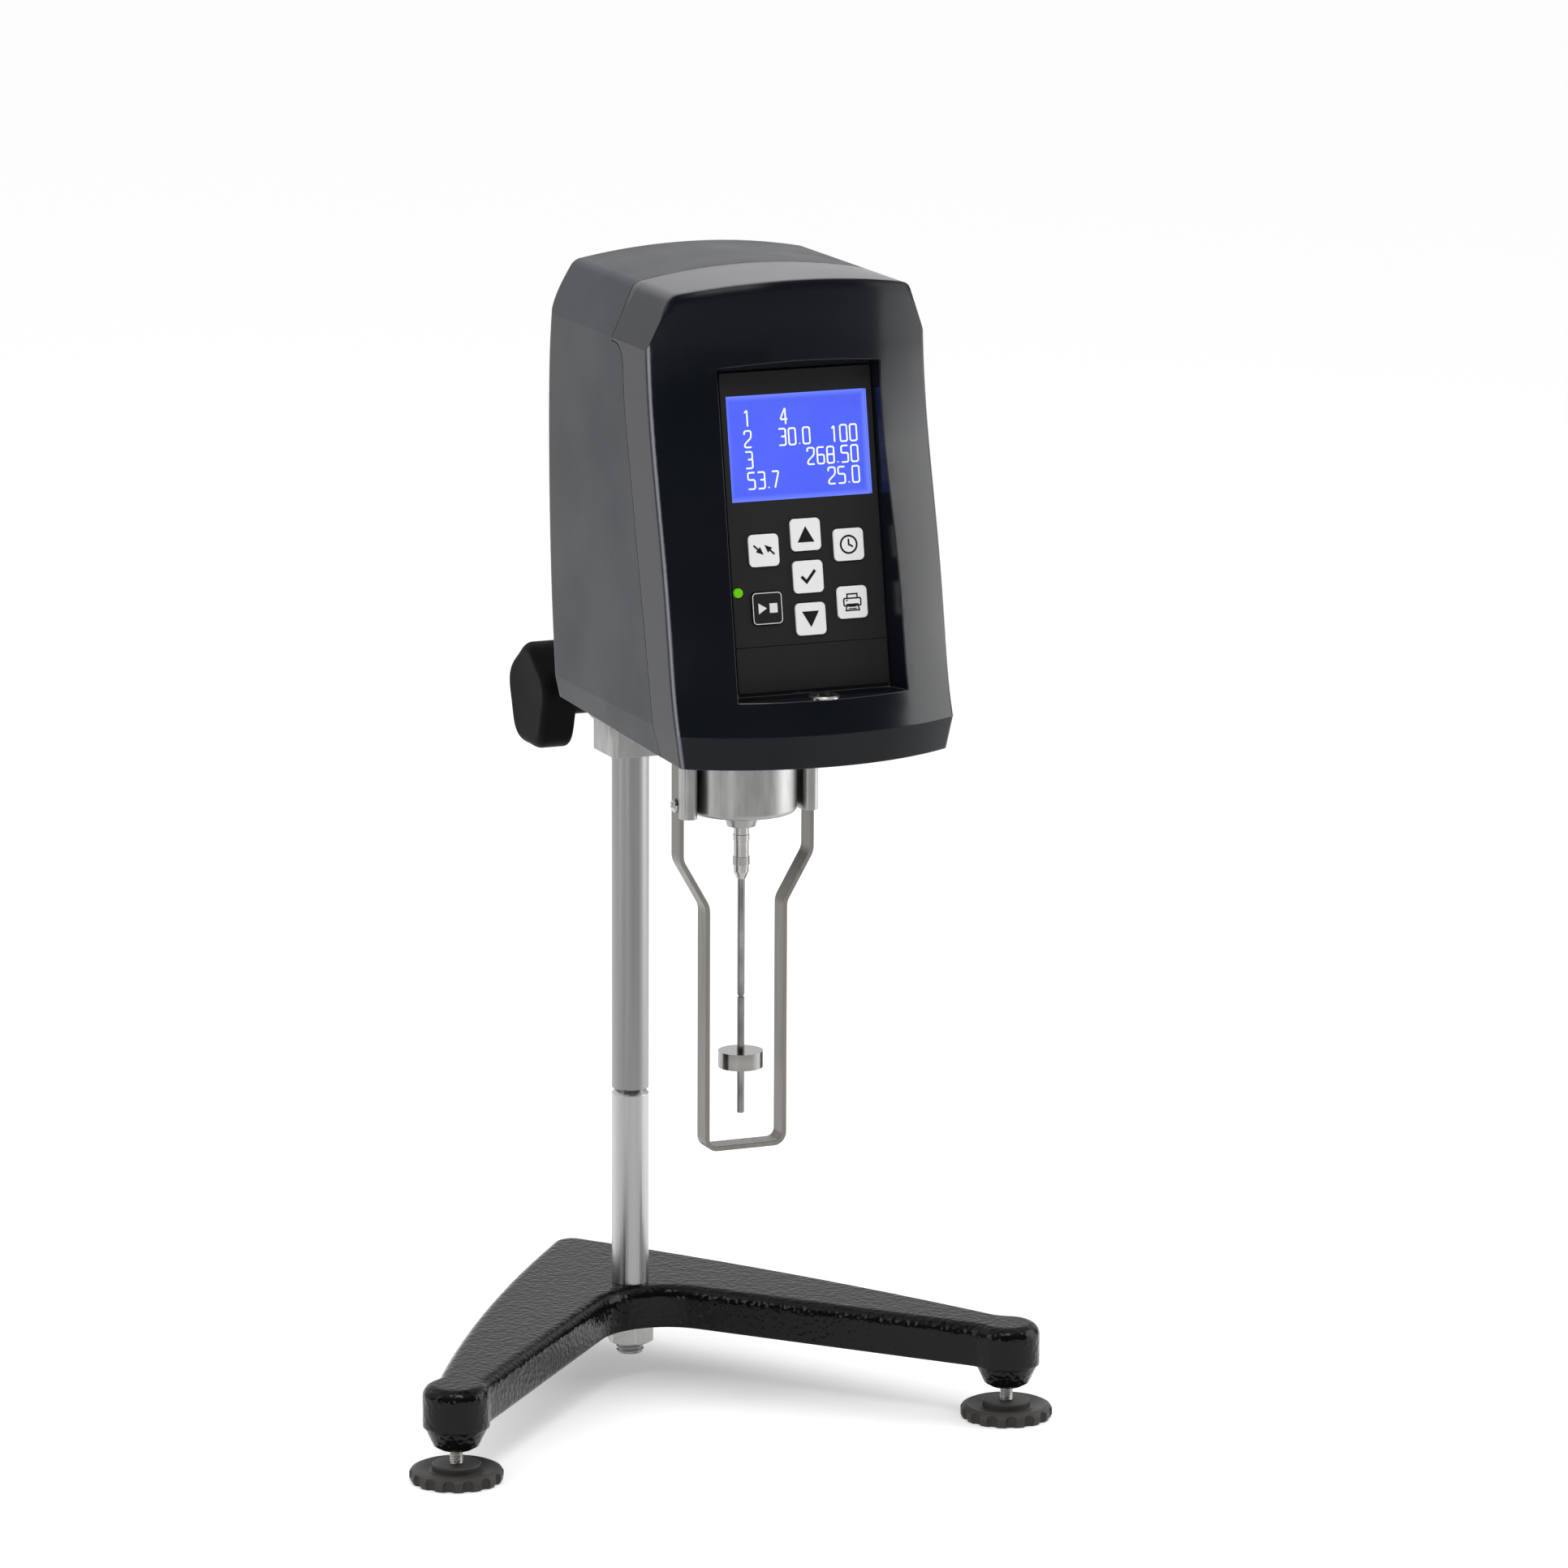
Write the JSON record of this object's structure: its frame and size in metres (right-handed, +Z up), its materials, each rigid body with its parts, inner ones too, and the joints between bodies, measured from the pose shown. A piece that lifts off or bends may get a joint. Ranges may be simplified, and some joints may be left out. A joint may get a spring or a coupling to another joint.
{
  "type": "digital rotational viscometer",
  "caption": "Bench viscometer: moulded head with display and keypad, spindle in a strip guard, rack-and-pinion column lift and V-shaped levelling stand.",
  "frame": {"origin": "on the bench, under the middle of the whole instrument", "axes": "+Z up along the column, -Y towards the user, +X to the right of a user facing the display"},
  "size_m": [0.289, 0.3004, 0.505],
  "materials": {
    "stand_paint": "gloss black enamel with a fine orange peel",
    "foot_rubber": "moulded rubber",
    "zinc_steel": "zinc plated",
    "wheel_plastic": "moulded dark grey, satin",
    "column_steel": "satin turned",
    "satin_aluminium": "satin, fine milled",
    "bearing_brass": "turned",
    "knob_plastic": "moulded black",
    "front_plastic": "glossy blue-black",
    "rear_plastic": "fine textured grey",
    "overlay_film": "matt printed film",
    "window_glass": "clear polished",
    "display_blue": "blue backlit liquid crystal",
    "led_green": "translucent green",
    "board_green": "solder resist",
    "bright_steel": "bright turned",
    "vial_acrylic": "clear, yellow-green fluid",
    "bubble_air": "clear",
    "guard_steel": "satin stainless strip",
    "spindle_steel": "ground stainless",
    "motor_case": "satin black",
    "key_plastic": "white, satin",
    "key_black": "black with a thin white line"
  },
  "bodies": {
    "stand": {"base_casting": "stand_paint", "rear_foot_pad": "foot_rubber", "column_lower": "column_steel", "column_upper": "column_steel", "column_nut": "zinc_steel"},
    "knob": {"lift_knob": "knob_plastic", "pinion_shaft": "zinc_steel"},
    "foot_screw_left": {"foot_stud_left": "zinc_steel"},
    "foot_turn_left": {"foot_wheel_left": "wheel_plastic"},
    "foot_screw_right": {"foot_stud_right": "zinc_steel"},
    "foot_turn_right": {"foot_wheel_right": "wheel_plastic"},
    "drive": {"drive_tube": "spindle_steel", "drive_gear": "bearing_brass", "drive_disc": "spindle_steel", "hairspring": "spindle_steel"},
    "rotor": {"motor_pinion": "spindle_steel"},
    "pivot": {"pivot_shaft": "bright_steel", "pivot_disc": "spindle_steel", "spindle_coupling": "bright_steel", "spindle": "spindle_steel"},
    "rocker": {"switch_rocker": "knob_plastic"},
    "key_up": {"key_up": "key_plastic"},
    "key_down": {"key_down": "key_plastic"},
    "key_ok": {"key_ok": "key_plastic"},
    "key_swap": {"key_swap": "key_plastic"},
    "key_scan": {"key_scan": "key_plastic"},
    "key_start": {"key_start": "key_black"},
    "key_print": {"key_print": "key_plastic"},
    "head": {"carriage_block": "satin_aluminium", "pinion_bush": "bearing_brass", "head_bracket": "satin_aluminium", "front_shell": "front_plastic", "rear_shell": "rear_plastic", "chassis_plate": "satin_aluminium", "case_screws": "zinc_steel", "keypad_overlay": "overlay_film", "lower_cover": "overlay_film", "display_window": "window_glass", "lcd_module": "display_blue", "led_lens": "led_green", "key_board": "board_green", "main_board": "board_green", "level_ring": "bright_steel", "level_vial": "vial_acrylic", "level_bubble": "bubble_air", "pivot_cup": "satin_aluminium", "guard_post_left": "satin_aluminium", "guard_post_right": "satin_aluminium", "guard_strip": "guard_steel", "guard_screws": "bright_steel", "bearing_block": "bearing_brass", "encoder_sensor": "knob_plastic", "motor_bracket": "zinc_steel", "motor": "motor_case", "power_inlet": "knob_plastic", "probe_socket": "bright_steel", "serial_socket": "bright_steel", "power_switch": "knob_plastic"}
  },
  "joints": [
    {"name": "head_lift", "type": "slide", "parent": "stand", "child": "head", "axis": [0, 0, 1], "range_m": [-0.12, 0.1]},
    {"name": "knob_turn", "type": "hinge", "parent": "head", "child": "knob", "pos_m": [0, 0.0847, 0.3002], "axis": [1, 0, 0], "range_deg": [-983, 819]},
    {"name": "foot_left_rise", "type": "slide", "parent": "stand", "child": "foot_screw_left", "axis": [0, 0, 1], "range_m": [-0.01, 0.0055]},
    {"name": "foot_left_turn", "type": "hinge", "parent": "foot_screw_left", "child": "foot_turn_left", "pos_m": [-0.1249, -0.0486, 0.004], "axis": [0, 0, 1], "range_deg": [-3601, 1981]},
    {"name": "foot_right_rise", "type": "slide", "parent": "stand", "child": "foot_screw_right", "axis": [0, 0, 1], "range_m": [-0.01, 0.0055]},
    {"name": "foot_right_turn", "type": "hinge", "parent": "foot_screw_right", "child": "foot_turn_right", "pos_m": [0.1249, -0.0486, 0.004], "axis": [0, 0, 1], "range_deg": [-3601, 1981]},
    {"name": "key_up_press", "type": "slide", "parent": "head", "child": "key_up", "axis": [0, 0.9842, -0.1771], "range_m": [0, 0.0005], "stiffness_N_per_m": 3000, "springref_m": -0.0002},
    {"name": "key_down_press", "type": "slide", "parent": "head", "child": "key_down", "axis": [0, 0.9842, -0.1771], "range_m": [0, 0.0005], "stiffness_N_per_m": 3000, "springref_m": -0.0002},
    {"name": "key_ok_press", "type": "slide", "parent": "head", "child": "key_ok", "axis": [0, 0.9842, -0.1771], "range_m": [0, 0.0005], "stiffness_N_per_m": 3000, "springref_m": -0.0002},
    {"name": "key_swap_press", "type": "slide", "parent": "head", "child": "key_swap", "axis": [0, 0.9842, -0.1771], "range_m": [0, 0.0005], "stiffness_N_per_m": 3000, "springref_m": -0.0002},
    {"name": "key_scan_press", "type": "slide", "parent": "head", "child": "key_scan", "axis": [0, 0.9842, -0.1771], "range_m": [0, 0.0005], "stiffness_N_per_m": 3000, "springref_m": -0.0002},
    {"name": "key_start_press", "type": "slide", "parent": "head", "child": "key_start", "axis": [0, 0.9842, -0.1771], "range_m": [0, 0.0005], "stiffness_N_per_m": 3000, "springref_m": -0.0002},
    {"name": "key_print_press", "type": "slide", "parent": "head", "child": "key_print", "axis": [0, 0.9842, -0.1771], "range_m": [0, 0.0005], "stiffness_N_per_m": 3000, "springref_m": -0.0002},
    {"name": "drive_spin", "type": "hinge", "parent": "head", "child": "drive", "pos_m": [0, -0.0532, 0.34], "axis": [0, 0, 1], "continuous": true},
    {"name": "motor_spin", "type": "hinge", "parent": "head", "child": "rotor", "pos_m": [0, -0.0276, 0.345], "axis": [0, 0, 1], "continuous": true},
    {"name": "spring_twist", "type": "hinge", "parent": "drive", "child": "pivot", "pos_m": [0, -0.0532, 0.34], "axis": [0, 0, 1], "range_deg": [0, 85], "stiffness_Nm_per_rad": 0.000048},
    {"name": "power_switch_rock", "type": "hinge", "parent": "head", "child": "rocker", "pos_m": [-0.02, 0.0072, 0.3965], "axis": [1, 0, 0], "range_deg": [-16, 0]}
  ],
  "couplings": [
    {"joint": "knob_turn", "follows": "head_lift", "rad_per_m": 142.86},
    {"joint": "foot_left_turn", "follows": "foot_left_rise", "rad_per_m": 6283.2},
    {"joint": "foot_right_turn", "follows": "foot_right_rise", "rad_per_m": 6283.2},
    {"joint": "motor_spin", "follows": "drive_spin", "ratio": -3}
  ]
}
